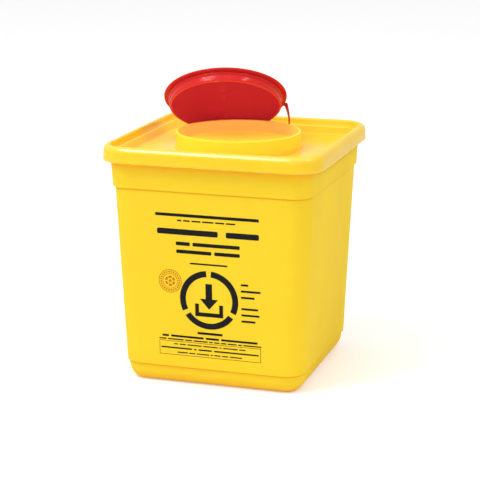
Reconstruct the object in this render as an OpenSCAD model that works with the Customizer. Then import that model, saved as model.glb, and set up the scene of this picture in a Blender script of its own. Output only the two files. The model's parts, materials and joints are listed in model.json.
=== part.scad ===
// Square sharps container: a tapered tub, a snap-on lid with a round neck and a slit membrane,
// and a plug cap on a short strap. Origin: centre of the base on the ground, +Z up, front faces -Y.
// The cap is drawn open, tilted up over the back of the neck with its rear edge low.

/* [Tub] */
// Half width of the flat bottom
base_half = 69; // [66:0.5:71]
// Half width of the stepped-in base
foot_half = 79; // [77.5:0.5:79.5]
// Radius of the bottom edge
foot_round = 14.5; // [12:0.5:15]
// Height of the step above the base
step_z = 16.1; // [15:0.1:18]
// Half width of the body at its bottom
body_low = 80.7; // [80:0.1:82]
// Half width of the body at its top
body_high = 86.9; // [86:0.1:87.2]
// Height where the body meets the upper band
band_z = 171.6; // [160:0.2:176]
// Half width of the upper band at its bottom
band_low = 88.0; // [87.8:0.1:88.2]
// Half width of the upper band at its top
band_high = 89.0; // [88.9:0.1:89.2]
// Wall thickness of the tub
wall = 1.7; // [1.4:0.1:1.9]

/* [Lid] */
// Half width of the lid's skirt
lid_half = 96; // [95.5:0.1:98]
// Corner radius of the lid in plan
lid_corner = 24.4; // [22:0.2:26]
// Height of the skirt's lower edge
skirt_z = 194.1; // [194:0.1:195]
// Height of the lid's rim
rim_z = 207.7; // [207:0.1:209]
// Height of the recessed deck
deck_z = 194.7; // [194.4:0.1:195.2]
// Half width of the deck
deck_half = 85.9; // [85:0.1:86]
// Thickness of the deck
deck_t = 1.8; // [1.4:0.1:2.2]
// Outer radius of the raised boss under the neck
boss_r = 55.4; // [55:0.1:57]
// Height of the joint line between boss and neck
boss_z = 197.8; // [197:0.1:198]

/* [Neck] */
// Outer radius of the neck
neck_r = 54.5; // [54.3:0.1:54.8]
// Inner radius of the neck
neck_bore = 52.0; // [51.9:0.1:52.2]
// Height of the neck's top edge
neck_z = 210.1; // [209.8:0.1:211]

/* [Membrane] */
// Height of the membrane's upper face
mem_z = 199.5; // [199.2:0.1:199.8]
// Thickness of the membrane
mem_t = 0.8; // [0.6:0.1:1]
// Radius of the slit star
star_r = 31; // [26:0.5:36]
// Width of the slits
slit_w = 0.5; // [0.3:0.1:0.8]

/* [Cap] */
// Radius of the cap's flange
flange_r = 54.6; // [54:0.1:54.8]
// Thickness of the flange
flange_t = 1.3; // [1.2:0.1:1.8]
// Depth of the plug below the flange
plug_t = 9.1; // [8.5:0.1:9.4]
// Radius of the plug's wall
plug_r = 49.9; // [49:0.1:50]
// Radius of the snap bead next to the flange
bead_r = 50.9; // [50.4:0.1:51]
// Thickness of the cap's shell
cap_wall = 1.8; // [1.4:0.1:2]
// How far the open cap is tilted
open_tilt = 36.2; // [36.2]
// Direction of the line that the open cap is tilted about
open_turn = 17.8; // [17.8]

/* [Strap] */
// Width of the strap
strap_w = 6; // [4:0.5:7]
// Thickness of the strap
strap_t = 1.1; // [0.9:0.1:1.2]

/* [Hidden] */

yellow = [0.98, 0.80, 0.13];
pale_yellow = [0.99, 0.84, 0.25];
red = [0.80, 0.12, 0.13];

slice = 0.01;                 // thickness of one level in a stack
fit = 0.05;                   // radial gap between round parts
sink = 0.5;                   // how deep the boss and post are rooted in the deck

// Tub
foot_centre = foot_half - 16.5;       // distance of the foot's corner centres from the axis
floor_t = 2;
body_corner = 17.8;           // corner radius at the body's top
edge_z = 199;                 // where the flared upper edge turns upright
edge_half = 93.6;
edge_wall = 1.5;              // wall at the very top

// Lid
lid_centre = lid_half - lid_corner;   // distance of the lid's corner centres from the axis
channel_z = rim_z - 2.5;      // top of the channel that the tub's edge sits in
recess_step_z = 201.6;        // height of the step in the recess wall
deck_low = deck_z - deck_t;
spigot_r = 53;                // part of the neck that sits in the lid's hole

// Post for the strap's eye
post_x = 22.2;
post_y = 61.5;
post_r = 2;
post_space_r = 4;             // free space round the post
post_space_h = 5;
// Outline of the post's head: [radius, height above the sunk root]
post_head = [[post_r, 2.6], [3.1, 3.2], [3.1, 3.6], [2.2, 4.5], [0, 4.8]];

// Membrane
mem_low = mem_z - mem_t;
petals = 12;
petal_gap = 0.1;              // running gap at a petal's root

// Open cap
open_centre = [-23.136, 34.752, 232.276];     // centre of the flange's underside
tilt_axis = [cos(open_turn), sin(open_turn), 0];
root_turn = 15.6;             // direction of the strap's root, in the cap's own frame
root_z = 0.1;                 // underside of the root above the flange's underside
strap_start_r = flange_r + 1.7;
eye_r = 4.6;
eye_z = deck_z + 0.06;

// ---- shared shapes ----
// Convex tapered solid of square plan with round corners.
// Each level is [height, half width, corner radius].
module stack(levels) {
    hull()
        for (l = levels, sx = [-1, 1], sy = [-1, 1])
            translate([sx * (l[1] - l[2]), sy * (l[1] - l[2]), l[0]])
                cylinder(r = l[2], h = slice, $fn = 32);
}

// Levels from [height, half width] pairs whose corners share one centre
function concentric(centre, pairs) = [for (p = pairs) [p[0], p[1], p[1] - centre]];

// ---- tub ----
// [height, half width] pairs round the bottom edge, from angle start in steps to 90 degrees
function bottom_edge(start, step, low_z, half) = [for (t = [start : step : 90])
    [low_z + (foot_round - low_z) * (1 - cos(t)), base_half + (half - base_half) * sin(t)]];

module tub() {
    band_top = [skirt_z, band_high, 15.1];
    band_top_in = [skirt_z, band_high - 1.25, 13.9];
    color(yellow)
    difference() {
        union() {
            // foot, body, upper band and flared edge
            stack(concentric(foot_centre,
                concat(bottom_edge(0, 18, 0, foot_half), [[step_z, foot_half + 0.15]])));
            stack([[step_z, body_low, 19.1], [band_z, body_high, body_corner]]);
            stack([[band_z, band_low, 15.9], band_top]);
            stack(concat([band_top],
                concentric(lid_centre, [[edge_z, edge_half], [channel_z - slice, edge_half]])));
        }
        // cavity
        stack(concat(
            concentric(foot_centre, bottom_edge(20, 23.3, floor_t, foot_half - wall)),
            [[band_z + 0.2, body_high - wall, body_corner - wall]]));
        stack([[band_z, band_low - wall, 14.3], band_top_in]);
        stack(concat([band_top_in - [slice, 0, 0]],
            concentric(lid_centre,
                [[edge_z - 0.4, edge_half - wall], [rim_z, edge_half - edge_wall]])));
    }
}

// ---- lid ----
module lid() {
    color(yellow)
    difference() {
        union() {
            difference() {
                // rim: skirt and rounded top
                stack(concentric(lid_centre, [
                    [skirt_z, lid_half], [rim_z - 5, lid_half - 0.25],
                    [rim_z - 2.6, lid_half - 0.9], [rim_z - 0.9, lid_half - 2.2],
                    [rim_z - slice, lid_half - 3.6]]));
                // channel that the tub's edge sits in
                stack(concentric(lid_centre,
                    [[skirt_z - 1, 94.4], [203, 94.2], [channel_z, 93.9]]));
            }
            // recess wall and deck
            stack(concentric(lid_centre, [[deck_low, 87], [rim_z - 2.4, 90.9]]));
            // boss under the neck
            translate([0, 0, deck_z - sink])
                cylinder(r = boss_r, h = boss_z - deck_z + sink, $fn = 128);
            // post for the strap's eye
            translate([post_x, post_y, deck_z - sink])
                rotate_extrude($fn = 48)
                    polygon(concat([[0, 0], [post_r, 0]], post_head));
        }
        // recess in two steps, sparing the boss and the post
        difference() {
            union() {
                stack(concentric(lid_centre,
                    [[deck_z, deck_half], [recess_step_z + 0.02, 86.9]]));
                stack(concentric(lid_centre, [[recess_step_z, 88.3], [rim_z + 0.3, 89.6]]));
            }
            cylinder(r = boss_r, h = boss_z, $fn = 128);
            translate([post_x, post_y, deck_z])
                cylinder(r = post_space_r, h = post_space_h, $fn = 48);
        }
        post_space();
        // hole that the neck's spigot sits in
        translate([0, 0, deck_z - 6]) cylinder(r = spigot_r + fit, h = 30, $fn = 128);
    }
}

// Free space round the post, above the deck
module post_space() {
    out_r = post_space_r + 0.01;
    top_z = post_space_h + 0.01;
    translate([post_x, post_y, deck_z])
        rotate_extrude($fn = 48)
            polygon(concat(
                [[post_r, 0], [out_r, 0], [out_r, top_z], [0, top_z]],
                [for (i = [len(post_head) - 1 : -1 : 0]) post_head[i] - [0, sink]]));
}

// ---- neck ----
module neck_collar() {
    ledge_r = 48.8;           // inner edge of the ledge under the membrane
    lower_bore = 50.4;
    snap_r = 53.9;            // bead that holds the spigot under the deck
    low_z = deck_low - 3;
    color(yellow)
    rotate_extrude($fn = 160)
        polygon([
            [neck_bore, mem_low], [neck_bore, neck_z - 0.5], [neck_bore + 0.5, neck_z],
            [neck_r - 0.7, neck_z], [neck_r, neck_z - 0.7], [neck_r, boss_z],
            [spigot_r, boss_z], [spigot_r, deck_low - 0.2], [snap_r, deck_low - 0.5],
            [snap_r, deck_low - 1.2], [52.4, low_z], [lower_bore, low_z],
            [lower_bore, mem_low - 2.2], [ledge_r, mem_low - 1.6], [ledge_r, mem_low]]);
}

// ---- membrane ----
module membrane_ring() {
    color(pale_yellow)
    translate([0, 0, mem_low])
        difference() {
            cylinder(r = neck_bore - fit, h = mem_t, $fn = 160);
            translate([0, 0, -1]) cylinder(r = star_r, h = mem_t + 2, $fn = 160);
        }
}

// One petal: the sector between two slits, number = 1 to petals
module petal(number) {
    pitch = 360 / petals;
    root_r = star_r - petal_gap;
    tip_x = slit_w / 2 / sin(pitch / 2);
    reach = 1.3 * root_r;     // the wedge runs past the root and is cut to it
    wedge_x = reach * cos(pitch / 2);
    wedge_y = reach * sin(pitch / 2);
    color(pale_yellow)
    rotate([0, 0, pitch * (number - 0.5)])
    translate([0, 0, mem_low])
        intersection() {
            cylinder(r = root_r, h = mem_t, $fn = 160);
            translate([tip_x, 0, 0]) linear_extrude(mem_t)
                polygon([[0, 0], [wedge_x, -wedge_y], [wedge_x, wedge_y]]);
        }
}

// ---- cap ----
// Puts a thing drawn in the cap's own frame (flange underside at z = 0, plug below) in its open place
module open_place() {
    translate(open_centre)
        rotate(a = -open_tilt, v = tilt_axis)
            rotate([0, 0, open_turn])
                children();
}

module cap() {
    inner_r = plug_r - cap_wall;
    floor_z = cap_wall - plug_t;
    lug_in = 1;               // overlap of the lug with the flange
    lug_out = 0.45;
    lug_side = 0.5;           // extra width on each side of the strap
    color(red)
    open_place() {
        rotate_extrude($fn = 160)
            polygon([
                // plug
                [0, -plug_t], [plug_r - 2.3, -plug_t], [plug_r - 1.3, 0.4 - plug_t],
                [plug_r - 0.4, 1.7 - plug_t], [plug_r, 3.3 - plug_t], [plug_r, -3.2],
                // bead
                [bead_r, -2.2], [bead_r, -1.3], [bead_r - 0.5, -0.6], [bead_r - 0.5, 0],
                // flange
                [flange_r - 0.3, 0], [flange_r, 0.4], [flange_r, flange_t - 0.6],
                [flange_r - 0.6, flange_t],
                // hollow
                [inner_r + 0.6, flange_t], [inner_r, flange_t - 0.7],
                [inner_r - 0.2, floor_z + 2], [inner_r - 2.2, floor_z], [0, floor_z]]);
        // lug that the strap starts from
        rotate([0, 0, root_turn])
            translate([flange_r - lug_in, -strap_w / 2 - lug_side, root_z])
                cube([lug_in + lug_out, strap_w + 2 * lug_side, strap_t]);
    }
}

// ---- strap ----
function unit(v) = v / norm(v);
function turn(v, axis, angle) =
    v * cos(angle) + cross(axis, v) * sin(angle) + axis * (axis * v) * (1 - cos(angle));
function spin_z(v, angle) =
    [v[0] * cos(angle) - v[1] * sin(angle), v[0] * sin(angle) + v[1] * cos(angle), v[2]];
// Same placing as open_place(), for a point
function opened(v) = open_centre + turn(spin_z(v, open_turn), tilt_axis, -open_tilt);
// Point near the strap's start, out = distance outward, side = distance along the flange
function near_start(out, side) =
    opened(spin_z([strap_start_r + out, side, root_z + strap_t / 2], root_turn));
function bezier(p, t) = p[0] * pow(1 - t, 3) + p[1] * 3 * t * pow(1 - t, 2)
    + p[2] * 3 * t * t * (1 - t) + p[3] * pow(t, 3);

// Centre, outward direction and width direction at the cap end and at the eye
start = near_start(0, 0);
start_out = near_start(1, 0) - start;
start_side = near_start(0, 1) - start;
eye = [post_x, post_y, eye_z + strap_t / 2];
eye_out = unit([0.952, 0.306, 0]);
eye_side = [-eye_out[1], eye_out[0], 0];
control = [start, start + start_out * 1.5 - [0, 0, 4],
    eye + eye_out * 8.2 + [0, 0, 13], eye + eye_out * (eye_r - 0.6)];
steps = 20;

// Centre line and width direction at step i
function mid(i) = bezier(control, i / steps);
function side_at(i) = unit(start_side * (1 - i / steps)
    + eye_side * sign(start_side * eye_side) * (i / steps));

// The four corners of the strap's cross-section at step i
function corners(i) = let (
        along = unit(mid(min(i + 0.5, steps)) - mid(max(i - 0.5, 0))),
        across = unit(side_at(i) - along * (side_at(i) * along)) * strap_w / 2,
        up = cross(along, across) / strap_w * strap_t,
        m = mid(i))
    [m + across + up, m - across + up, m - across - up, m + across - up];

module tether_strap() {
    last = 4 * steps;
    color(red) {
        polyhedron(
            points = [for (i = [0 : steps]) each corners(i)],
            faces = concat(
                [[0, 1, 2, 3], [last + 3, last + 2, last + 1, last]],
                [for (i = [0 : steps - 1], j = [0 : 3])
                    let (a = 4 * i + j, b = 4 * i + (j + 1) % 4)
                        each [[a, a + 4, b + 4], [a, b + 4, b]]]));
        // eye over the post
        translate([post_x, post_y, eye_z])
            difference() {
                cylinder(r = eye_r, h = strap_t, $fn = 48);
                translate([0, 0, -1]) cylinder(r = post_r + 0.15, h = strap_t + 2, $fn = 48);
            }
    }
}

tub();
lid();
neck_collar();
membrane_ring();
petal(1);  // membrane_petal_01
petal(2);  // membrane_petal_02
petal(3);  // membrane_petal_03
petal(4);  // membrane_petal_04
petal(5);  // membrane_petal_05
petal(6);  // membrane_petal_06
petal(7);  // membrane_petal_07
petal(8);  // membrane_petal_08
petal(9);  // membrane_petal_09
petal(10);  // membrane_petal_10
petal(11);  // membrane_petal_11
petal(12);  // membrane_petal_12
cap();
tether_strap();
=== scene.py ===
import json
import math

import bmesh
import bpy
from mathutils import Matrix, Vector


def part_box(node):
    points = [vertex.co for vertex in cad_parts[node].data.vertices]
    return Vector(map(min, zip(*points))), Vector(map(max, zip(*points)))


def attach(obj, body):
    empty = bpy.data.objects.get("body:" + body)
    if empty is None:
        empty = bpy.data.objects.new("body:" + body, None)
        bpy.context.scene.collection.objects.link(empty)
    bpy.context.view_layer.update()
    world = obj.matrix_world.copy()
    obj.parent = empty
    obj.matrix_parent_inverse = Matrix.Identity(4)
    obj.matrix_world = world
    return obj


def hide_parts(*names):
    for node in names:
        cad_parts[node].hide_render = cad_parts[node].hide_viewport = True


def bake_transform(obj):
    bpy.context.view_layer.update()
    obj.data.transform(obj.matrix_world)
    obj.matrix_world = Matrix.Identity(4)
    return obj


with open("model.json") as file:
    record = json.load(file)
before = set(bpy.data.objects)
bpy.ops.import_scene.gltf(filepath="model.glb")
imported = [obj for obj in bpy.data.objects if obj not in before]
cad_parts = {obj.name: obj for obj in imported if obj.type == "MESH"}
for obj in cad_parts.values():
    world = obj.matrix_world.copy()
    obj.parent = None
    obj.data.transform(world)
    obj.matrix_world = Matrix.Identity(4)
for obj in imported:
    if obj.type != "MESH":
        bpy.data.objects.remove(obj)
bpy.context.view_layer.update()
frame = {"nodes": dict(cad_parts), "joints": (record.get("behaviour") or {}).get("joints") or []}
MM = 0.001
nodes = frame["nodes"]
joints = {j["name"]: j for j in frame["joints"]}

# ------------------------------------------------------------------ places read from the frame
lid_lo, lid_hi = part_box("lid")
tub_lo, tub_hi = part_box("tub")
col_lo, col_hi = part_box("neck_collar")
ring_lo, ring_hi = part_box("membrane_ring")

LID_W = lid_hi.x / MM            # 96
RIM_Z = lid_hi.z / MM            # 207.7
NECK_Z = col_hi.z / MM           # 210.1
NECK_R = col_hi.x / MM           # 54.5
MEM_Z = ring_hi.z / MM           # 199.5
MEM_T = (ring_hi.z - ring_lo.z) / MM
MEM_R = ring_hi.x / MM
DECK_Z = RIM_Z - 13.0
SKIRT_Z = RIM_Z - 13.6
CC_LID = LID_W - 24.4            # centre of the lid's corner arcs


# ------------------------------------------------------------------ small mesh tools
def fillet(points, radii, seg=5):
    """A 2-D polyline with its corners rounded. radii has one number for each point; 0 leaves it sharp."""
    out = []
    n = len(points)
    for i, p in enumerate(points):
        r = radii[i]
        if r <= 0 or i in (0, n - 1):
            out.append(tuple(p))
            continue
        a, b, c = Vector(points[i - 1][:2]), Vector(p[:2]), Vector(points[i + 1][:2])
        u, v = (a - b), (c - b)
        lu, lv = u.length, v.length
        u.normalize(), v.normalize()
        ang = math.acos(max(-1, min(1, u.dot(v))))
        if ang > math.pi - 0.02:
            out.append(tuple(p))
            continue
        d = min(r / math.tan(ang / 2), lu * 0.49, lv * 0.49)
        rr = d * math.tan(ang / 2)
        bis = (u + v).normalized()
        cen = b + bis * (rr / math.sin(ang / 2))
        p0, p1 = b + u * d, b + v * d
        a0 = math.atan2(p0.y - cen.y, p0.x - cen.x)
        a1 = math.atan2(p1.y - cen.y, p1.x - cen.x)
        da = (a1 - a0 + math.pi) % (2 * math.pi) - math.pi
        for k in range(seg + 1):
            t = a0 + da * k / seg
            x, y = cen.x + rr * math.cos(t), cen.y + rr * math.sin(t)
            extra = tuple(p[2:])
            out.append((x, y) + extra)
    return out


def new_object(name, verts, faces, smooth=True, sharp=None):
    me = bpy.data.meshes.new(name)
    me.from_pydata([tuple(v) for v in verts], [], faces)
    me.validate()
    bm = bmesh.new()
    bm.from_mesh(me)
    bmesh.ops.remove_doubles(bm, verts=bm.verts, dist=2e-6)
    bmesh.ops.dissolve_degenerate(bm, edges=bm.edges, dist=1e-6)
    bmesh.ops.recalc_face_normals(bm, faces=bm.faces)
    bm.to_mesh(me)
    bm.free()
    ob = bpy.data.objects.new(name, me)
    bpy.context.scene.collection.objects.link(ob)
    for p in me.polygons:
        p.use_smooth = smooth
    if smooth and sharp is not None:
        me.set_sharp_from_angle(angle=math.radians(sharp))
    return ob


def square_ring(w, r, z, seg=14, edge=10):
    """Points (mm) round a square of half width w with corner radius r, anticlockwise from the middle of +X."""
    pts = []
    c = w - r
    for q in range(4):
        a0 = q * math.pi / 2
        ca, sa = math.cos(a0), math.sin(a0)
        local = []
        # half the straight edge before the corner, the corner, half the edge after it
        for i in range(edge):
            local.append((w, c * (i / edge)))
        for i in range(seg + 1):
            t = (math.pi / 2) * i / seg
            local.append((c + r * math.cos(t), c + r * math.sin(t)))
        for i in range(1, edge):
            local.append((c * (1 - i / edge), w))
        for x, y in local:
            pts.append((x * ca - y * sa, x * sa + y * ca, z))
    return pts


def circle_like(ring, r, z):
    """A circle with one point at the direction of each point of a square ring."""
    out = []
    for x, y, _ in ring:
        t = math.atan2(y, x)
        out.append((r * math.cos(t), r * math.sin(t), z))
    return out


def loft(name, rings, close_start=False, close_end=False, loop=False, **kw):
    n = len(rings[0])
    verts, faces = [], []
    for ring in rings:
        verts += [Vector(p) * MM for p in ring]
    m = len(rings)
    for i in range(m if loop else m - 1):
        a, b = i * n, ((i + 1) % m) * n
        for k in range(n):
            k2 = (k + 1) % n
            faces.append((a + k, a + k2, b + k2, b + k))
    for end, ring in ((close_start, 0), (close_end, m - 1)):
        if end:
            c = len(verts)
            z = rings[ring][0][2]
            verts.append(Vector((0, 0, z)) * MM)
            for k in range(n):
                k2 = (k + 1) % n
                faces.append((ring * n + k2, ring * n + k, c))
    return new_object(name, verts, faces, **kw)


def revolve(name, prof, n=160, loop=True, at=None, **kw):
    """prof is a list of (radius, z) in mm. A radius of 0 closes on the axis."""
    verts, faces = [], []
    m = len(prof)
    for r, z in prof:
        for k in range(n):
            t = 2 * math.pi * k / n
            verts.append(Vector((r * math.cos(t), r * math.sin(t), z)) * MM)
    for i in range(m if loop else m - 1):
        a, b = i * n, ((i + 1) % m) * n
        for k in range(n):
            k2 = (k + 1) % n
            faces.append((a + k, a + k2, b + k2, b + k))
    ob = new_object(name, verts, faces, **kw)
    if at is not None:
        ob.data.transform(at)
    return ob


# ------------------------------------------------------------------ materials
def srgb(r, g, b):
    return tuple((c / 12.92 if c <= 0.04045 else ((c + 0.055) / 1.055) ** 2.4) for c in (r, g, b)) + (1.0,)


def plastic(name, base, rough=0.32, grain=0.10, grain_scale=900.0, var=0.05, sss=0.0, sss_col=None,
            worn=(1.0, 1.0, 1.0, 1.0), worn_amount=0.25, coat=0.0, spec=0.5, mottle=0.05, wave=0.0, painted_shade=None, glow=None, glow_in=None, creases=(), spec_top=None,
            warm=()):
    """Moulded plastic: fine grain in bump and roughness, slow colour drift, flow marks and rubbed, paler edges."""
    mat = bpy.data.materials.new(name)
    mat.use_nodes = True
    nt = mat.node_tree
    nt.nodes.clear()
    N, L = nt.nodes.new, nt.links.new
    out = N("ShaderNodeOutputMaterial")
    bsdf = N("ShaderNodeBsdfPrincipled")
    L(bsdf.outputs[0], out.inputs[0])
    geo = N("ShaderNodeNewGeometry")
    tex = N("ShaderNodeTexCoord")
    co = tex.outputs["Object"]

    def noise(scale, detail=3.0, rough_=0.5, dist=0.0):
        n = N("ShaderNodeTexNoise")
        n.inputs["Scale"].default_value = scale
        n.inputs["Detail"].default_value = detail
        n.inputs["Roughness"].default_value = rough_
        n.inputs["Distortion"].default_value = dist
        L(co, n.inputs["Vector"])
        return n.outputs["Fac"]

    def ramp(src, lo, hi, a=0.0, b=1.0):
        m = N("ShaderNodeMapRange")
        m.inputs["From Min"].default_value = lo
        m.inputs["From Max"].default_value = hi
        m.inputs["To Min"].default_value = a
        m.inputs["To Max"].default_value = b
        L(src, m.inputs["Value"])
        return m.outputs[0]

    def mix(fac, a, b, kind="MIX"):
        m = N("ShaderNodeMix")
        m.data_type = "RGBA"
        m.blend_type = kind
        if isinstance(fac, float):
            m.inputs[0].default_value = fac
        else:
            L(fac, m.inputs[0])
        for sock, v in ((m.inputs[6], a), (m.inputs[7], b)):
            if isinstance(v, tuple):
                sock.default_value = v
            else:
                L(v, sock)
        return m.outputs[2]

    def math_(op, a, b=0.5):
        m = N("ShaderNodeMath")
        m.operation = op
        for sock, v in ((m.inputs[0], a), (m.inputs[1], b)):
            if isinstance(v, (int, float)):
                sock.default_value = v
            else:
                L(v, sock)
        return m.outputs[0]

    dark = tuple(c * (1 - var) for c in base[:3]) + (1.0,)
    light = tuple(min(1.0, c * (1 + var * 0.6)) for c in base[:3]) + (1.0,)
    slow = ramp(noise(9.0, 2.0, 0.5, 0.4), 0.35, 0.65)
    col = mix(slow, dark, light)
    fine = ramp(noise(260.0, 4.0, 0.6), 0.3, 0.7)
    col = mix(ramp(fine, 0.0, 1.0, 0.0, mottle), col, light)
    # rubbed edges: convex places come out a little paler and duller
    edge = ramp(geo.outputs["Pointiness"], 0.515, 0.56)
    spots = ramp(noise(120.0, 3.0, 0.6), 0.35, 0.7)
    rub = math_("MULTIPLY", math_("MULTIPLY", edge, spots), worn_amount)
    col = mix(rub, col, worn)
    if painted_shade is not None:  # painted shade: recessed corners are mixed toward a darker colour, standing in for the shade they hold
        hollow = ramp(geo.outputs["Pointiness"], 0.49, 0.44, 0.0, 0.6)
        col = mix(hollow, col, painted_shade)
    if creases:  # the thin line of shade that a moulded step holds, as (height, half width)
        sepz = N("ShaderNodeSeparateXYZ")
        L(co, sepz.inputs[0])
        for zc, hw, amount in creases:
            d = math_("ABSOLUTE", math_("SUBTRACT", sepz.outputs[2], zc), 0.0)
            col = mix(ramp(d, hw, hw * 0.35, 0.0, amount), col, painted_shade)
        lit = None
        for lo, hi in warm:  # warm shade next to an overhang or the ground, as (height it starts at, height it is full at)
            f = math_("POWER", ramp(sepz.outputs[2], lo, hi), 2.0)
            col = mix(math_("MULTIPLY", f, 0.60), col, painted_shade)
            lit = f if lit is None else math_("ADD", lit, f)
        # painted glow: the same bands also get an orange emission, standing in for light bounced into that shade
        if lit is not None:
            bsdf.inputs["Emission Color"].default_value = (1.0, 0.22, 0.02, 1.0)
            L(math_("MULTIPLY", lit, 0.14), bsdf.inputs["Emission Strength"])
    L(col, bsdf.inputs["Base Color"])

    r = ramp(noise(60.0, 3.0, 0.6), 0.3, 0.7, rough - 0.05, rough + 0.06)
    r = math_("ADD", r, math_("MULTIPLY", rub, 0.35))
    L(r, bsdf.inputs["Roughness"])
    bsdf.inputs["Specular IOR Level"].default_value = spec
    if spec_top:  # the polished top of the rim
        sept = N("ShaderNodeSeparateXYZ")
        L(co, sept.inputs[0])
        up = math_("MULTIPLY", ramp(sept.outputs[2], spec_top[0] - 0.0010, spec_top[0] + 0.0006), ramp(sept.outputs[1], -0.080, -0.088))
        L(ramp(up, 0.0, 1.0, spec, spec_top[1]), bsdf.inputs["Specular IOR Level"])
    if "Coat Weight" in bsdf.inputs:
        bsdf.inputs["Coat Weight"].default_value = coat
        bsdf.inputs["Coat Roughness"].default_value = 0.12
    if sss > 0:
        bsdf.inputs["Subsurface Weight"].default_value = sss
        bsdf.inputs["Subsurface Radius"].default_value = sss_col or (0.004, 0.0025, 0.0006)
        bsdf.inputs["Subsurface Scale"].default_value = 1.0

    if glow:  # painted glow: emission that stands in for light reaching a place through the thin, see-through walls round it
        bsdf.inputs["Emission Color"].default_value = glow[:3] + (1.0,)
        if glow_in is None:
            bsdf.inputs["Emission Strength"].default_value = glow[3]
        else:
            top, side = glow_in
            sep = N("ShaderNodeSeparateXYZ")
            L(co, sep.inputs[0])
            f = ramp(sep.outputs[2], top + 0.0015, top - 0.0015, 0.0, glow[3])
            for k in (0, 1):
                f = math_("MULTIPLY", f, ramp(math_("ABSOLUTE", sep.outputs[k], 0.0), side + 0.0012, side - 0.0012))
            # the painted glow is strongest at the left and fades towards the right
            f = math_("MULTIPLY", f, ramp(sep.outputs[0], -0.07, 0.06, 1.0, 0.15))
            L(f, bsdf.inputs["Emission Strength"])

    # surface: fine moulded grain over slow waviness of the wall
    g = noise(grain_scale, 2.0, 0.55)
    b1 = N("ShaderNodeBump")
    b1.inputs["Strength"].default_value = grain
    b1.inputs["Distance"].default_value = 0.00006
    L(g, b1.inputs["Height"])
    b2 = N("ShaderNodeBump")
    b2.inputs["Strength"].default_value = 1.0
    b2.inputs["Distance"].default_value = wave
    L(noise(14.0, 1.0, 0.4), b2.inputs["Height"])
    L(b2.outputs[0], b1.inputs["Normal"])
    L(b1.outputs[0], bsdf.inputs["Normal"])
    return mat


def ink(name, base, rough=0.45):
    """Screen-printed ink: slightly uneven cover, thinner at pinholes."""
    mat = bpy.data.materials.new(name)
    mat.use_nodes = True
    nt = mat.node_tree
    bsdf = nt.nodes["Principled BSDF"]
    bsdf.inputs["Specular IOR Level"].default_value = 0.15
    tex = nt.nodes.new("ShaderNodeTexCoord")
    n = nt.nodes.new("ShaderNodeTexNoise")
    n.inputs["Scale"].default_value = 1400.0
    n.inputs["Detail"].default_value = 3.0
    nt.links.new(tex.outputs["Object"], n.inputs["Vector"])
    r = nt.nodes.new("ShaderNodeValToRGB")
    r.color_ramp.elements[0].position = 0.30
    r.color_ramp.elements[0].color = tuple(min(1, c * 1.8 + 0.006) for c in base[:3]) + (1,)
    r.color_ramp.elements[1].position = 0.52
    r.color_ramp.elements[1].color = base
    nt.links.new(n.outputs["Fac"], r.inputs["Fac"])
    nt.links.new(r.outputs["Color"], bsdf.inputs["Base Color"])
    m = nt.nodes.new("ShaderNodeMapRange")
    m.inputs["To Min"].default_value = rough - 0.08
    m.inputs["To Max"].default_value = rough + 0.12
    nt.links.new(n.outputs["Fac"], m.inputs["Value"])
    nt.links.new(m.outputs[0], bsdf.inputs["Roughness"])
    b = nt.nodes.new("ShaderNodeBump")
    b.inputs["Strength"].default_value = 0.15
    b.inputs["Distance"].default_value = 0.00003
    nt.links.new(n.outputs["Fac"], b.inputs["Height"])
    nt.links.new(b.outputs[0], bsdf.inputs["Normal"])
    return mat


YELLOW = (0.95, 0.642, 0.029, 1.0)
YELLOW_LID = (0.95, 0.605, 0.026, 1.0)
RED = (0.63, 0.0230, 0.0230, 1.0)
# tub: painted shade lines at the band step and the base step, painted warm shade with an orange glow under the lid
# skirt and at the foot, and painted shade in hollows
M_TUB = plastic("tub_polypropylene", YELLOW, rough=0.60, grain=0.40, grain_scale=1500.0, var=0.030, worn=(1.0, 0.80, 0.22, 1.0),
                worn_amount=0.20, wave=0.0004, painted_shade=(0.82, 0.36, 0.004, 1.0), spec=0.07, sss=0.12, sss_col=(0.004, 0.0026, 0.0003),
                creases=((0.1713, 0.0010, 0.75), (0.0161, 0.0010, 0.95)),
                warm=((0.183, 0.1935), (0.010, 0.0005)))
# lid: painted shade in hollows, and a painted glow on the deck inside the rim
M_LID = plastic("lid_polypropylene", YELLOW_LID, rough=0.19, grain=0.10, grain_scale=1200.0, var=0.025, worn=(1.0, 0.84, 0.30, 1.0),
                worn_amount=0.25, wave=0.0003, painted_shade=(0.90, 0.50, 0.010, 1.0), spec=0.15, sss=0.10, sss_col=(0.004, 0.0028, 0.0004),
                glow=(1.0, 0.50, 0.20, 0.21), glow_in=(0.2030, 0.0890), spec_top=(0.2045, 0.80))
# neck: a faint painted glow all over
M_NECK = plastic("neck_polypropylene", (0.95, 0.715, 0.030, 1.0), rough=0.30, grain=0.10, grain_scale=1300.0, var=0.03,
                 worn=(1.0, 0.86, 0.36, 1.0), worn_amount=0.3, wave=0.0002, spec=0.08, sss=0.15, sss_col=(0.004, 0.0028, 0.0006),
                 glow=(1.0, 0.40, 0.10, 0.12))
# painted reflection: a copy of the neck plastic with a reddish glow, standing in for the red cap's reflection and
# bounce inside the neck
M_NECK_IN = plastic("neck_inner_face", (0.95, 0.670, 0.060, 1.0), rough=0.30, grain=0.10, grain_scale=1300.0, var=0.03,
                    worn=(1.0, 0.86, 0.36, 1.0), worn_amount=0.3, wave=0.0002, spec=0.15, glow=(1.0, 0.30, 0.28, 0.17))
# membrane: a strong painted glow, standing in for light coming through the thin plastic round it
M_MEM = plastic("membrane_plastic", (0.98, 0.46, 0.035, 1.0), rough=0.50, grain=0.08, grain_scale=900.0, var=0.03,
                worn=(1.0, 0.60, 0.10, 1.0), worn_amount=0.15, wave=0.0004, spec=0.02, glow=(1.0, 0.86, 0.10, 0.36))
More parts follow.
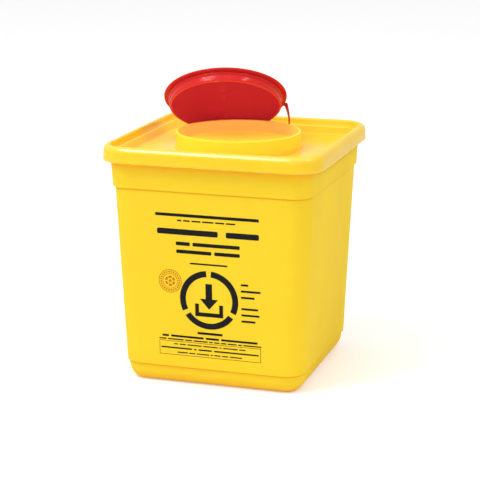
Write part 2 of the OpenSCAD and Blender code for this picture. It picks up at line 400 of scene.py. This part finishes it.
# cap: painted shade in its hollows
M_CAP = plastic("cap_polypropylene", RED, rough=0.14, grain=0.08, grain_scale=1300.0, var=0.05, worn=(0.95, 0.10, 0.07, 1.0),
                worn_amount=0.45, wave=0.0002, painted_shade=(0.40, 0.006, 0.008, 1.0), spec=0.12)
# the plug's face: a dark base lifted by a painted red glow where it lies in shade
M_DISC = plastic("cap_satin_face", (0.33, 0.0100, 0.0220, 1.0), rough=0.55, grain=0.55, grain_scale=1100.0, var=0.05,
                 worn=(0.60, 0.06, 0.05, 1.0), worn_amount=0.2, wave=0.0002, spec=0.05, glow=(1.0, 0.030, 0.075, 0.155))
# painted highlight: a thin, paler red ring at the edge of the plug's face, standing in for the shine along that edge
M_EDGE_HIGHLIGHT = plastic("cap_edge_painted_highlight", (0.75, 0.050, 0.042, 1.0), rough=0.20, grain=0.08, grain_scale=1300.0, var=0.10,
                 worn=(1.0, 0.30, 0.22, 1.0), worn_amount=0.4, wave=0.0002, spec=0.30)
M_INK = ink("black_print", (0.0045, 0.0050, 0.0060, 1.0), 0.6)
M_BADGE = ink("brown_print", (0.48, 0.17, 0.006, 1.0), 0.6)


def finish_piece(ob, body, mat, slot, *stands_for):
    ob.data.materials.clear()
    ob.data.materials.append(mat)
    if body:
        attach(ob, body)
    if stands_for:
        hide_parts(*stands_for)
    return ob


# ------------------------------------------------------------------ tub
# Cross-section of the wall as (half width, height, corner centre). It runs from the outer bottom up the outside,
# over the top edge inside the lid, and down the inside.
CC0 = 62.3
turn = [math.radians(a) for a in range(0, 91, 9)]
foot = [(68.8 + 10.2 * math.sin(t), 14.6 * (1 - math.cos(t)), CC0) for t in turn]
foot_in = [(66.6 + 10.6 * math.sin(t), 2.0 + 13.4 * (1 - math.cos(t)), CC0) for t in reversed(turn)]
outer = [(0.001, 0.9, 0), (54.0, 0.9, 46.0), (57.0, 0.0, 49.0)] + foot + [
    (79.0, 15.5, CC0), (80.75, 16.3, CC0), (86.9, 171.2, 69.1), (88.05, 171.9, 72.1), (89.0, 194.1, 73.9), (93.55, 198.9, 71.6),
    (93.6, 205.15, 71.6), (92.0, 205.15, 71.6), (91.9, 198.6, 71.6), (87.7, 194.0, 73.8), (86.4, 171.0, 72.1),
    (85.2, 170.4, 69.1), (78.8, 17.2, CC0)] + foot_in + [(0.001, 2.0, 0)]
rad = [0, 0.8, 1.5] + [0] * len(foot) + [0.3, 0.7, 0.7, 0.5, 3.0, 2.0, 0.5, 0.5, 2.0, 2.0, 0.5, 0.8, 0.5] + [0] * len(foot_in) + [0]


def fillet3(points, radii, seg=5):
    """fillet() with the corner centre blended along the arc."""
    out = []
    n = len(points)
    for i, p in enumerate(points):
        if radii[i] <= 0 or i in (0, n - 1):
            out.append(p)
            continue
        three = fillet([points[i - 1][:2], p[:2], points[i + 1][:2]], [0, radii[i], 0], seg)[1:-1]
        for x, y in [q[:2] for q in three]:
            out.append((x, y, p[2]))
    return out


def split(points, longest):
    """More points along long runs, so that a tapered wall is drawn with even faces."""
    out = [points[0]]
    for a, b in zip(points[:-1], points[1:]):
        d = math.hypot(b[0] - a[0], b[1] - a[1])
        k = max(1, int(d / longest))
        for i in range(1, k + 1):
            t = i / k
            out.append(tuple(a[j] + (b[j] - a[j]) * t for j in range(len(a))))
    return out


section = split(fillet3(outer, rad), 11.0)
rings = []
for w, z, cc in section:
    cc = min(cc, w * 0.9)
    rings.append(square_ring(w, w - cc, z))
tub = loft("tub_shell", rings, sharp=50)

# slow, sub-millimetre bow of the large faces, as a thin moulded wall has
for v in tub.data.vertices:
    x, y, z = v.co.x / MM, v.co.y / MM, v.co.z / MM
    if 20 < z < 168:
        s = math.sin(math.pi * (z - 20) / 148)
        for axis, other in ((0, 1), (1, 0)):
            c = (x, y)[axis]
            if abs(c) > 76 and abs((x, y)[other]) < 66:
                f = math.cos(math.pi / 2 * (x, y)[other] / 66) ** 2
                v.co[axis] += math.copysign(0.45 * s * f, c) * MM
finish_piece(tub, "container", M_TUB, "tub_plastic", "tub")

# ------------------------------------------------------------------ lid
base = square_ring(1.0, 0.5, 0)
prof = [
    # outer skirt with its bead, the rounded rim, then down the stepped inner wall to the deck
    (94.4, 194.15), (95.6, 194.1), (96.0, 194.5), (96.0, 196.2), (95.8, 197.2), (95.8, 201.2),
]
arc = [(95.8 - 4.6 + 4.6 * math.cos(t), 201.7 + 6.0 * math.sin(t)) for t in [math.radians(a) for a in (8, 20, 32, 44, 56, 68, 80, 90)]]
prof += arc
prof += [(90.9, 207.65), (90.1, 207.35), (89.55, 206.6), (89.3, 205.6), (88.45, 202.2), (88.1, 201.75), (87.5, 201.6),
         (87.05, 201.35), (86.85, 200.8), (86.2, 196.4), (85.9, 195.5), (85.3, 194.9), (84.4, 194.7)]
lid_rings = [square_ring(w, w - CC_LID, z) for w, z in prof]
ref = lid_rings[-1]
deck = []
# the deck runs from the square wall to the round boss
for f in (0.12, 0.3, 0.5, 0.7, 0.88):
    ring = []
    circ = circle_like(ref, 57.2, DECK_Z)
    for p, q in zip(ref, circ):
        ring.append((p[0] + (q[0] - p[0]) * f, p[1] + (q[1] - p[1]) * f, DECK_Z))
    deck.append(ring)
boss = [(57.2, 194.7), (56.2, 194.78), (55.5, 195.1), (55.15, 195.7), (55.05, 196.4), (55.0, 197.2), (54.9, 197.6), (54.7, 197.75),
        (53.4, 197.8), (53.1, 197.6), (53.05, 197.2), (53.05, 193.2), (53.4, 192.9)]
boss_rings = [circle_like(ref, r, z) for r, z in boss]
under = []
under_sq = square_ring(86.6, 86.6 - CC_LID, 192.9)
circ = circle_like(under_sq, 53.4, 192.9)
for f in (0.88, 0.6, 0.3, 0.0):
    under.append([(p[0] + (q[0] - p[0]) * f, p[1] + (q[1] - p[1]) * f, 192.9) for p, q in zip(under_sq, circ)])
back = [(87.0, 193.1), (87.15, 193.6), (87.6, 194.9), (90.9, 205.0), (91.2, 205.2), (92.6, 205.2), (93.3, 204.9), (94.1, 203.6), (94.25, 203.0), (94.4, 196.0)]
back_rings = [square_ring(w, w - CC_LID, z) for w, z in back]
lid = loft("lid_shell", lid_rings + deck + boss_rings + under + back_rings, loop=True, sharp=50)
finish_piece(lid, "container", M_LID, "lid_plastic", "lid")

# post for the strap's eye, on the deck
eye_lo, eye_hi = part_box("tether_strap")
POST = Vector((22.2, 61.5, 0))
post_prof = fillet([(0.0, 194.2), (2.6, 194.2), (2.0, 195.2), (2.0, 196.95), (3.05, 197.75), (3.0, 198.35), (2.0, 199.15), (0.0, 199.45)],
                   [0, 0, 0.5, 0.2, 0.2, 0.3, 0.8, 0], 4)
post = revolve("strap_post", post_prof, n=40, loop=False, at=Matrix.Translation(POST * MM), sharp=50)
finish_piece(post, "container", M_LID, "lid_plastic")

# ------------------------------------------------------------------ neck
b0 = MEM_Z - MEM_T
neck_pts = [(52.0, b0 + 0.05), (52.0, NECK_Z), (NECK_R, NECK_Z), (NECK_R, 197.85), (53.0, 197.85), (53.0, 192.7), (53.9, 192.4), (53.9, 191.7),
            (52.4, 189.9), (50.4, 189.9), (50.4, 196.5), (48.8, 197.1), (48.8, b0), (52.0, b0)]
neck_rad = [0, 0.9, 1.1, 0.35, 0, 0.1, 0.2, 0.2, 0.4, 0.4, 0.3, 0.2, 0.1, 0]
neck = revolve("neck_ring", fillet(neck_pts, neck_rad, 6), n=192, sharp=50)
finish_piece(neck, "container", M_NECK, "lid_plastic", "neck_collar")
neck.data.materials.append(M_NECK_IN)
# the inner faces above the membrane take the copy with the painted red reflection
for p in neck.data.polygons:
    if p.center.z > 0.1990 and math.hypot(p.center.x, p.center.y) < 0.0522:
        p.material_index = 1

# ------------------------------------------------------------------ membrane
STAR = 31.0
mem_pts = [(STAR, b0 + 0.02), (STAR, MEM_Z), (33.5, MEM_Z), (MEM_R - 1.6, MEM_Z), (MEM_R, MEM_Z + 0.55), (MEM_R, b0 + 0.02)]
mem = revolve("membrane_disc", fillet(mem_pts, [0, 0.12, 0, 1.2, 0, 0], 4), n=192, sharp=40)
finish_piece(mem, "container", M_MEM, "membrane_plastic", "membrane_ring")


def petal(k):
    """The sector between two slits, domed a little at its tip, with eased edges."""
    a = math.radians(30)
    half = a / 2
    slit = 0.13
    r1 = STAR - 0.06
    mid = math.radians(30 * (k - 0.5))
    rows, cols = 22, 8
    top, bottom = [], []
    for i in range(rows + 1):
        r = 0.9 + (r1 - 0.9) * i / rows
        lim = half - math.asin(min(0.9, slit / r))
        for j in range(cols + 1):
            t = -lim + 2 * lim * j / cols
            edge = 1.0 if j in (0, cols) or i == 0 else 0.0
            x, y = r * math.cos(mid + t), r * math.sin(mid + t)
            top.append((x, y, MEM_Z - 0.10 * edge - (0.0 if i < rows else 0.03)))
            bottom.append((x, y, b0 + 0.02 + 0.10 * edge))
    verts = [Vector(p) * MM for p in top + bottom]
    n = len(top)
    c = cols + 1
    faces = []
    for i in range(rows):
        for j in range(cols):
            p = i * c + j
            faces.append((p, p + c, p + c + 1, p + 1))
            faces.append((n + p, n + p + 1, n + p + c + 1, n + p + c))
    for i in range(rows):
        for j in (0, cols):
            p = i * c + j
            faces.append((p, p + c, n + p + c, n + p))
    for j in range(cols):
        for i in (0, rows):
            p = i * c + j
            faces.append((p, p + 1, n + p + 1, n + p))
    ob = new_object(f"petal_{k:02d}_skin", verts, faces, sharp=40)
    ob.data.materials.append(M_MEM)
    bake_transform(ob)
    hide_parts(f"membrane_petal_{k:02d}")
    return ob


for k in range(1, 13):
    petal(k)

# ------------------------------------------------------------------ cap
cap_joint = joints["cap_turn"]
C_OPEN = Vector((-23.136, 34.752, 232.276))
AX = Vector((math.cos(math.radians(17.8)), math.sin(math.radians(17.8)), 0))
CAP_M = (Matrix.Translation(C_OPEN * MM) @ Matrix.Rotation(math.radians(-36.2), 4, AX) @ Matrix.Rotation(math.radians(17.8), 4, "Z"))
PR, PT, FR, FT = 49.9, 9.1, 54.6, 1.3
cap_pts = [
    (0.0, -PT + 0.25), (12.0, -PT + 0.12), (PR - 2.0, -PT), (PR - 0.05, -PT + 0.35), (PR, -3.7), (PR - 0.45, -3.3), (bead := 50.9, -2.2), (bead, -1.3),
    (PR + 0.35, -0.6), (PR + 0.35, 0.0), (FR, 0.0), (FR, FT), (PR - 1.2, FT), (PR - 1.85, 1.3), (PR - 2.0, -PT + 1.8), (12.0, -PT + 1.8), (0.0, -PT + 1.8)]
cap_rad = [0, 0, 0.2, 1.9, 0.5, 0.5, 0.5, 0.5, 0.3, 0.25, 0.6, 0.7, 0.6, 0.4, 2.2, 0, 0]
cap = revolve("cap_shell", fillet(cap_pts, cap_rad, 6), n=192, loop=False, at=CAP_M, sharp=50)
finish_piece(cap, "cap", M_CAP, "cap_plastic", "cap")
cap.data.materials.append(M_DISC)
cap.data.materials.append(M_EDGE_HIGHLIGHT)
inv = CAP_M.inverted()
# the plug's end takes the satin face; the thin ring at its edge takes the painted highlight
for p in cap.data.polygons:
    c = (inv @ p.center) / MM
    if c.z < -PT + 0.75 and math.hypot(c.x, c.y) < PR - 1.75:
        p.material_index = 1
    elif c.z < -PT + 0.42 and PR - 1.60 < math.hypot(c.x, c.y) < PR - 0.85:
        p.material_index = 2

# small ring-shaped gate mark on the plug's face
gate_prof = fillet([(1.55, 0.10), (1.55, -0.16), (2.35, -0.16), (2.35, 0.10), (1.55, 0.11)], [0, 0.1, 0.1, 0, 0], 3)
gate_at = CAP_M @ Matrix.Translation(Vector((0.56 * PR * math.cos(math.radians(271)), 0.56 * PR * math.sin(math.radians(271)), -PT + 0.07)) * MM)
gate = revolve("cap_gate_mark", gate_prof, n=32, at=gate_at, sharp=60)
finish_piece(gate, "cap", M_DISC, "cap_plastic")

# ------------------------------------------------------------------ strap


def opened(p):
    return (CAP_M @ (Vector(p) * MM)) / MM


def rot_z(p, deg):
    return Matrix.Rotation(math.radians(deg), 3, "Z") @ Vector(p)


ROOT_TURN, SW, ST = 15.6, 6.0, 1.1
tip = opened(rot_z((FR + 1.7, 0, 0.1 + ST / 2), ROOT_TURN))
tip_d = (opened(rot_z((FR + 2.7, 0, 0.1 + ST / 2), ROOT_TURN)) - tip)
tip_w = (opened(rot_z((FR + 1.7, 1, 0.1 + ST / 2), ROOT_TURN)) - tip)
eye_d = Vector((0.952, 0.306, 0)).normalized()
eye_w = Vector((-eye_d.y, eye_d.x, 0))
if tip_w.dot(eye_w) < 0:
    eye_w = -eye_w
eye_p = Vector((POST.x, POST.y, DECK_Z + 0.06 + ST / 2))
ctrl = [tip, tip + tip_d * 1.5 - Vector((0, 0, 4)), eye_p + eye_d * 8.2 + Vector((0, 0, 13)), eye_p + eye_d * 4.0]


def bez(t):
    u = 1 - t
    return ctrl[0] * u ** 3 + ctrl[1] * 3 * t * u * u + ctrl[2] * 3 * t * t * u + ctrl[3] * t ** 3


def band(name, pts, wides, body=None):
    """A flat strap with rounded edges along pts."""
    loops = []
    n = len(pts)
    section = []
    for a in range(16):
        t = 2 * math.pi * a / 16
        c, s = math.cos(t), math.sin(t)
        x = math.copysign(min(1.0, abs(c) ** 0.35), c) * SW / 2
        y = math.copysign(abs(s) ** 0.75, s) * ST / 2
        section.append((x, y))
    verts, faces = [], []
    for i, p in enumerate(pts):
        d = (pts[min(i + 1, n - 1)] - pts[max(i - 1, 0)]).normalized()
        w = (wides[i] - d * wides[i].dot(d)).normalized()
        u = d.cross(w)
        for x, y in section:
            verts.append((p + w * x + u * y) * MM)
    m = 16
    for i in range(n - 1):
        for k in range(m):
            faces.append((i * m + k, i * m + (k + 1) % m, (i + 1) * m + (k + 1) % m, (i + 1) * m + k))
    faces.append(tuple(range(m)))
    faces.append(tuple((n - 1) * m + k for k in range(m)))
    return new_object(name, verts, faces, sharp=50)


STEPS = 48
centre = [bez(i / STEPS) for i in range(STEPS + 1)]
wide = [(tip_w * (1 - i / STEPS) + eye_w * (i / STEPS)).normalized() for i in range(STEPS + 1)]
# a short run-in under the flange's edge, so the strap grows out of the cap
pre = [tip - tip_d * 2.6, tip - tip_d * 1.3]
upper_pts, upper_w = pre + centre[: STEPS // 2 + 1], [tip_w, tip_w] + wide[: STEPS // 2 + 1]
lower_pts, lower_w = centre[STEPS // 2:] + [eye_p + eye_d * 3.0], wide[STEPS // 2:] + [eye_w]
upper = band("strap_upper", upper_pts, upper_w)
lower = band("strap_lower", lower_pts, lower_w)
for ob in (upper, lower):
    ob.data.materials.append(M_CAP)
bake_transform(upper)
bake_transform(lower)
eye_prof = fillet([(2.25, -ST / 2), (4.6, -ST / 2), (4.6, ST / 2), (2.25, ST / 2), (2.25, -ST / 2 + 0.01)], [0, 0.5, 0.5, 0.3, 0], 4)
eye = revolve("strap_eye", eye_prof, n=48, at=Matrix.Translation(eye_p * MM), sharp=50)
finish_piece(eye, "container", M_CAP, "cap_plastic")
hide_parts("tether_strap")

# ------------------------------------------------------------------ print on the front


def front(x, z, lift):
    """A point on the front face at x, z (mm), lifted off it."""
    y = -(80.7 + (z - 16.1) * (86.9 - 80.7) / (171.6 - 16.1))
    if 20 < z < 168 and abs(x) < 66:
        y -= 0.45 * math.sin(math.pi * (z - 20) / 148) * math.cos(math.pi / 2 * x / 66) ** 2
    return (x * MM, (y - lift) * MM, z * MM)


def plate(polys, name, mat, slot, t=0.10, step=6.0):
    """Thin raised plates on the front face, one for each closed outline (list of (x, z))."""
    verts, faces = [], []
    sides = {}  # a side that two neighbouring outlines share has no wall

    def side(a, b):
        return frozenset(((round(a[0], 5), round(a[1], 5)), (round(b[0], 5), round(b[1], 5))))

    for poly in polys:
        for a, b in zip(poly, poly[1:] + poly[:1]):
            sides[side(a, b)] = sides.get(side(a, b), 0) + 1
    for poly in polys:
        n0 = len(verts)
        n = len(poly)
        for x, z in poly:
            verts.append(front(x, z, t))
        for x, z in poly:
            verts.append(front(x, z, -0.25))
        faces.append(tuple(n0 + i for i in range(n)))
        faces.append(tuple(n0 + n + i for i in reversed(range(n))))
        for i in range(n):
            j = (i + 1) % n
            if sides[side(poly[i], poly[j])] == 1:
                faces.append((n0 + i, n0 + n + i, n0 + n + j, n0 + j))
    ob = new_object(name, verts, faces, smooth=False)
    finish_piece(ob, "container", mat, slot)
    return ob


def bar(x0, x1, z0, z1, r=None):
    """Outline of a bar with rounded ends."""
    h = (z1 - z0) / 2
    r = h * 0.5 if r is None else r
    r = min(r, h, (x1 - x0) / 2)
    pts = []
    for cx, cz, a in ((x1 - r, z1 - r, 0), (x0 + r, z1 - r, 90), (x0 + r, z0 + r, 180), (x1 - r, z0 + r, 270)):
        for k in range(4):
            t = math.radians(a + 30 * k)
            pts.append((cx + r * math.cos(t), cz + r * math.sin(t)))
    return pts


def strip(x0, x1, z0, z1, n):
    """A long bar cut into short lengths, so that it follows the bowed face."""
    out = []
    for i in range(n):
        a, b = x0 + (x1 - x0) * i / n, x0 + (x1 - x0) * (i + 1) / n
        out.append([(b, z1), (a, z1), (a, z0), (b, z0)])
    return out


def arc_seg(cx, cz, r0, r1, a0, a1):
    """Outlines of an arc between two radii, cut into short lengths."""
    out = []
    n = max(1, int(abs(a1 - a0) / 6))
    for i in range(n):
        b0, b1 = math.radians(a0 + (a1 - a0) * i / n), math.radians(a0 + (a1 - a0) * (i + 1) / n)
        out.append([(cx + r * math.cos(b), cz + r * math.sin(b)) for r, b in ((r0, b0), (r1, b0), (r1, b1), (r0, b1))])
    return out


def words(x0, x1, z0, z1, lengths, gap, fill=0.78):
    """A row of word-length bars across x0..x1."""
    total = sum(lengths)
    room = (x1 - x0) - gap * (len(lengths) - 1)
    h = (z1 - z0)
    a, b = z0 + h * (1 - fill) / 2, z1 - h * (1 - fill) / 2
    out, x = [], x0
    for n in lengths:
        w = room * n / total
        out.append(bar(x, x + w, a, b))
        x += w + gap
    return out


black = []
black += strip(-46.0, 44.7, 150.4, 153.0, 14)                      # fill line
black += words(-26.8, 24.2, 146.1, 148.2, [2, 3, 4, 5, 4, 4], 1.5, 0.6)
black += words(-44.8, 9.0, 132.6, 141.8, [8], 0, 0.54)
black += words(16.0, 44.7, 132.6, 141.8, [4], 0, 0.54)
black += words(-28.2, 28.0, 124.9, 129.3, [3, 10], 2.4, 0.72)
black += words(-28.0, 28.0, 118.1, 122.4, [7, 5], 2.6, 0.72)
black += words(-16.0, 17.0, 109.2, 111.6, [9], 0, 0.6)
for z in (95.0, 89.5, 84.0):
    black += words(28.6, {95.0: 35.0, 89.5: 45.6, 84.0: 40.4}[z], z - 1.2, z + 1.2, [4], 0, 0.74)
for z in (74.0, 68.5, 63.0):
    black += words(28.8, {74.0: 43.4, 68.5: 44.6, 63.0: 41.0}[z], z - 1.2, z + 1.2, [4], 0, 0.74)
black += words(-10.5, 11.8, 47.4, 50.6, [7], 0, 0.66)
black += words(-42.3, 42.7, 43.0, 46.0, [2, 10, 4, 11], 2.0, 0.62)
black += words(-45.2, 46.0, 40.6, 42.4, [4, 9, 4, 8, 2, 3, 3, 5, 2, 10], 1.3, 0.6)
for x0, x1, z0, z1 in ((-45.1, 45.4, 27.3, 27.65), (-45.1, 45.4, 39.6, 39.95)):
    black += strip(x0, x1, z0, z1, 12)
for x0, x1 in ((-45.1, -44.75), (45.05, 45.4)):
    black += strip(x0, x1, 27.65, 39.6, 1)
black += words(-32.0, 32.0, 36.4, 38.2, [2, 3, 7, 7, 1, 7, 3], 1.4, 0.56)
black += words(-43.6, 43.6, 32.6, 34.8, [14, 1, 6, 20], 2.0, 0.60)
black += words(-29.0, 29.0, 29.0, 30.8, [5, 3, 6, 1, 3, 3, 6], 1.4, 0.56)
# emblem: a ring in three arcs, with an arrow pointing down into a tray
EX, EZ = 0.3, 79.0
for i in range(3):
    a = 30 + 120 * i
    black += arc_seg(EX, EZ, 20.6, 25.9, a - 55, a + 55)


def place(pts):
    return [(EX + x, EZ + z) for x, z in pts]


black.append(place([(2.9, 14.5), (-2.9, 14.5), (-2.9, 1.0), (2.9, 1.0)]))
black.append(place([(8.0, 1.0), (-8.0, 1.0), (0.0, -8.2)]))
black.append(place([(12.4, -3.6), (9.0, -3.6), (9.0, -11.2), (-9.0, -11.2), (-9.0, -3.6), (-12.4, -3.6), (-12.4, -14.8), (12.4, -14.8)]))
plate(black, "front_print", M_INK, "print_ink")

brown = []
BX, BZ = -34.1, 93.5
brown += arc_seg(BX, BZ, 9.7, 10.3, 0, 360)
brown += arc_seg(BX, BZ, 6.3, 6.8, 0, 360)
for i in range(24):
    a = 15 * i
    brown += arc_seg(BX, BZ, 7.5, 9.0, a + 2, a + 11)
for i in range(6):
    a = 60 * i
    brown += arc_seg(BX, BZ, 2.6, 4.6, a + 8, a + 52)
brown.append([(BX + 1.4 * math.cos(math.radians(t)), BZ + 1.4 * math.sin(math.radians(t))) for t in range(0, 360, 20)])
plate(brown, "front_badge", M_BADGE, "badge_ink")

# ------------------------------------------------------------------ floor, light, camera
floor_me = bpy.data.meshes.new("floor")
S = 4.0
floor_me.from_pydata([(-S, -S, 0), (S, -S, 0), (S, S, 0), (-S, S, 0)], [], [(0, 1, 2, 3)])
floor = bpy.data.objects.new("floor", floor_me)
bpy.context.scene.collection.objects.link(floor)
fm = bpy.data.materials.new("pale_floor")
fm.use_nodes = True
fb = fm.node_tree.nodes["Principled BSDF"]
fb.inputs["Base Color"].default_value = (0.82, 0.82, 0.82, 1)
fb.inputs["Roughness"].default_value = 0.9
fb.inputs["Specular IOR Level"].default_value = 0.05
fb.inputs["Emission Color"].default_value = (1, 1, 1, 1)
seen = fm.node_tree.nodes.new("ShaderNodeLightPath")
lift = fm.node_tree.nodes.new("ShaderNodeMath")      # the sweep is exposed to white, as a studio table is
lift.operation = "MULTIPLY"
lift.inputs[1].default_value = 0.28
fm.node_tree.links.new(seen.outputs["Is Camera Ray"], lift.inputs[0])
fm.node_tree.links.new(lift.outputs[0], fb.inputs["Emission Strength"])
floor_me.materials.append(fm)


def area(name, loc, target, size, power, color=(1, 1, 1), gloss=False):
    li = bpy.data.lights.new(name, "AREA")
    li.shape = "RECTANGLE"
    li.size, li.size_y = size
    li.energy = power
    li.color = color
    ob = bpy.data.objects.new(name, li)
    ob.location = loc
    d = Vector(target) - Vector(loc)
    ob.rotation_mode = "QUATERNION"
    ob.rotation_quaternion = d.to_track_quat("-Z", "Y")
    if gloss:  # a light that shows only as a sheen
        ob.visible_diffuse = False
    bpy.context.scene.collection.objects.link(ob)
    return ob


KEY_W, RIGHT_W, FILL_W, TOP_W, WORLD = 19.6, 6.0, 2.4, 4.5, 0.78
area("key", (-0.85, -0.99, 1.89), (0, 0, 0.12), (0.75, 0.90), KEY_W)
area("right", (1.45, -0.18, 1.89), (0, 0, 0.12), (0.70, 0.13), RIGHT_W)
area("fill", (0.75, -2.1, 0.75), (0, 0, 0.12), (1.4, 1.0), FILL_W)
area("top", (0.0, -0.35, 2.2), (0, 0, 0.15), (1.2, 1.2), TOP_W)
area("cap_strip", (-1.15, -1.0, 1.95), (0, 0, 0.2), (1.90, 0.08), 6.5, gloss=True)
area("rim_strip", (-0.66, -1.58, 1.70), (0, 0, 0.2), (0.34, 0.90), 6.0, gloss=True)

world = bpy.data.worlds.new("studio")
world.use_nodes = True
wn = world.node_tree
bg = wn.nodes["Background"]
bg.inputs[0].default_value = (1.0, 1.0, 1.0, 1)
path = wn.nodes.new("ShaderNodeLightPath")
level = wn.nodes.new("ShaderNodeMapRange")     # the sweep behind reads white, and lights the object more softly
level.inputs["To Min"].default_value = WORLD
level.inputs["To Max"].default_value = 1.02
wn.links.new(path.outputs["Is Camera Ray"], level.inputs["Value"])
wn.links.new(level.outputs[0], bg.inputs[1])
bpy.context.scene.world = world
bpy.context.scene.view_settings.view_transform = "Standard"

cam_data = bpy.data.cameras.new("camera")
cam = bpy.data.objects.new("camera", cam_data)
bpy.context.scene.collection.objects.link(cam)
cam_data.sensor_width = 36.0
cam_data.lens = 122.6
cam_data.shift_x = 0.0030
cam_data.shift_y = -0.0003
az, el, roll = math.radians(17.54), math.radians(14.17), math.radians(-0.15)
backv = Vector((math.sin(az) * math.cos(el), -math.cos(az) * math.cos(el), math.sin(el)))
cam.location = (0.4227, -1.3373, 0.4657)
cam.rotation_mode = "QUATERNION"
cam.rotation_quaternion = (-backv).to_track_quat("-Z", "Y")
cam_data.clip_start, cam_data.clip_end = 0.05, 50
bpy.context.scene.camera = cam
